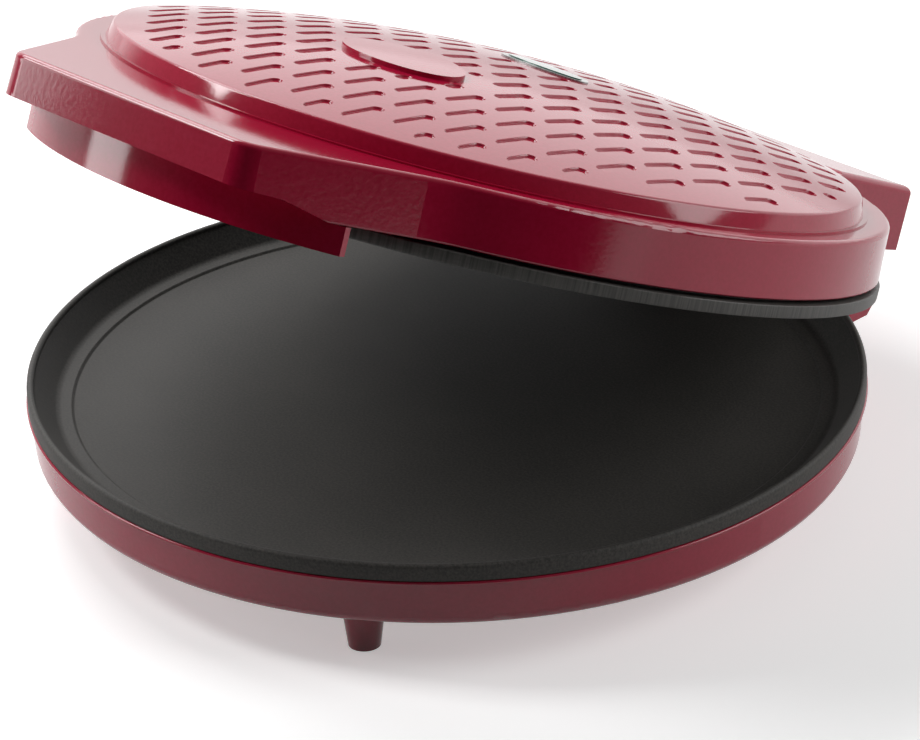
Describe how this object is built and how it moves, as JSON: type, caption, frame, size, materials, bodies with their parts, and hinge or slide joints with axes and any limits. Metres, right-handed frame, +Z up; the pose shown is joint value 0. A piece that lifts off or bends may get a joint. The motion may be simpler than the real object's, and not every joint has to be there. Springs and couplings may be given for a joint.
{
  "type": "electric pizza maker",
  "caption": "Electric pizza maker: round non-stick pan in a glossy red casing on tapered feet, with a hinged domed lid, a heated upper plate and a wide flared front handle.",
  "frame": {"origin": "on the table, under the middle of the whole machine as it stands with its lid partly open: 20.3 mm behind the middle of the pan", "axes": "+Z up, -Y towards the user, where the handle is; the hinge is at +Y and its axis runs along X; +X is to the right as the user faces the handle"},
  "size_m": [0.33, 0.3706, 0.2103],
  "materials": {
    "red_plastic": "moulded heat-resistant plastic in a glossy cherry red",
    "nonstick_plate": "cast aluminium with a black non-stick coating",
    "black_sheet": "pressed steel sheet, painted black",
    "zinc_sheet": "zinc-plated steel sheet",
    "element_steel": "sheathed steel tube, darkened by heat",
    "plated_steel": "zinc-plated steel",
    "washer_plastic": "low-friction plastic",
    "block_plastic": "pale heat-resistant moulding",
    "lead_sleeve": "glass-fibre sleeve over a copper wire",
    "black_plastic": "black moulding",
    "label_film": "bare silver-grey film",
    "red_plate": "glossy red, with nothing printed on it",
    "silver_plate": "silver-grey plate, with nothing printed on it",
    "green_plate": "green field, with nothing printed on it",
    "foot_rubber": "black rubber"
  },
  "bodies": {
    "base": {"base_shell": "red_plastic", "bottom_cover": "black_sheet", "cord_gland": "black_plastic", "cover_screw_1": "plated_steel", "cover_screw_2": "plated_steel", "cover_screw_3": "plated_steel", "cover_screw_4": "plated_steel", "foot_1": "red_plastic", "foot_2": "red_plastic", "foot_3": "red_plastic", "foot_4": "red_plastic", "foot_pad_1": "foot_rubber", "foot_pad_2": "foot_rubber", "foot_pad_3": "foot_rubber", "foot_pad_4": "foot_rubber", "hinge_pin_left": "plated_steel", "hinge_pin_right": "plated_steel", "hinge_washer_left": "washer_plastic", "hinge_washer_right": "washer_plastic", "lead_1": "lead_sleeve", "lead_2": "lead_sleeve", "lower_clamp_1": "plated_steel", "lower_clamp_2": "plated_steel", "lower_clamp_3": "plated_steel", "lower_element": "element_steel", "lower_plate": "nonstick_plate", "lower_reflector": "zinc_sheet", "pan_screw_1": "plated_steel", "pan_screw_2": "plated_steel", "pan_screw_3": "plated_steel", "rating_label": "label_film", "terminal_block": "block_plastic", "thermal_fuse": "element_steel", "thermostat": "plated_steel"},
    "lid": {"arm_screw_left": "plated_steel", "arm_screw_right": "plated_steel", "badge_inlay": "green_plate", "badge_plate": "silver_plate", "frame_screw_1": "plated_steel", "frame_screw_2": "plated_steel", "frame_screw_3": "plated_steel", "frame_screw_4": "plated_steel", "guard_screw_1": "plated_steel", "guard_screw_2": "plated_steel", "handle_guard": "red_plastic", "hinge_arm_left": "plated_steel", "hinge_arm_right": "plated_steel", "lid_cover": "red_plastic", "lid_frame": "zinc_sheet", "lid_panel": "red_plastic", "name_plate": "red_plate", "plate_screw_1": "plated_steel", "plate_screw_2": "plated_steel", "plate_screw_3": "plated_steel", "upper_clamp_1": "plated_steel", "upper_clamp_2": "plated_steel", "upper_clamp_3": "plated_steel", "upper_element": "element_steel", "upper_plate": "nonstick_plate", "upper_reflector": "zinc_sheet"}
  },
  "joints": [
    {"name": "lid_hinge", "type": "hinge", "parent": "base", "child": "lid", "pos_m": [0, 0.16671, 0.0435], "axis": [-1, 0, 0], "range_deg": [-21, 75]}
  ]
}
